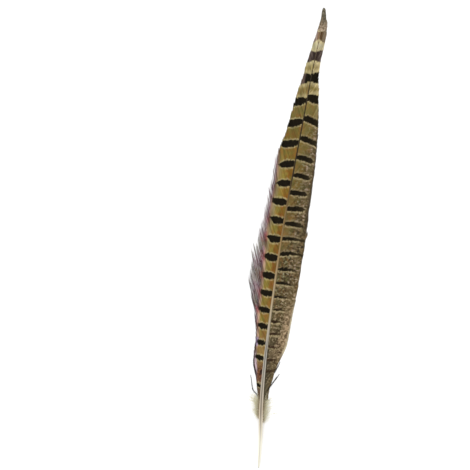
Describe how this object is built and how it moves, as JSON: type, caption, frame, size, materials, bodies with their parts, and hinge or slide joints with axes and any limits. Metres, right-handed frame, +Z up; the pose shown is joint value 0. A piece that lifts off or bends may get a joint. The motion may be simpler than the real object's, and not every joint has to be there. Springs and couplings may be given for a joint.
{
  "type": "pheasant tail feather",
  "caption": "Long barred tail feather of a cock pheasant, with a bare quill, a broad vane, a narrow fringed vane and down at its base, lying flat.",
  "frame": {"origin": "under the middle of the feather's box, on the surface that it lies on", "axes": "+Y from the quill's end to the tip, +X towards the broad vane, +Z up, out of the feather's upper side"},
  "size_m": [0.0512, 0.465, 0.0093],
  "materials": {
    "shaft": "smooth horn, satin; pale cream at the quill, turning brown towards the tip",
    "narrow_vane": "fine parallel barbs, soft sheen; olive gold with broad black bars and a mauve grey fringe",
    "broad_vane": "fine parallel barbs, soft sheen; olive brown with thin dark bars and a mottled margin",
    "down": "loose soft down, matt"
  },
  "bodies": {
    "root": {"shaft": "shaft", "narrow_vane": "narrow_vane", "broad_vane": "broad_vane", "narrow_side_down": "down", "broad_side_down": "down"}
  },
  "joints": []
}
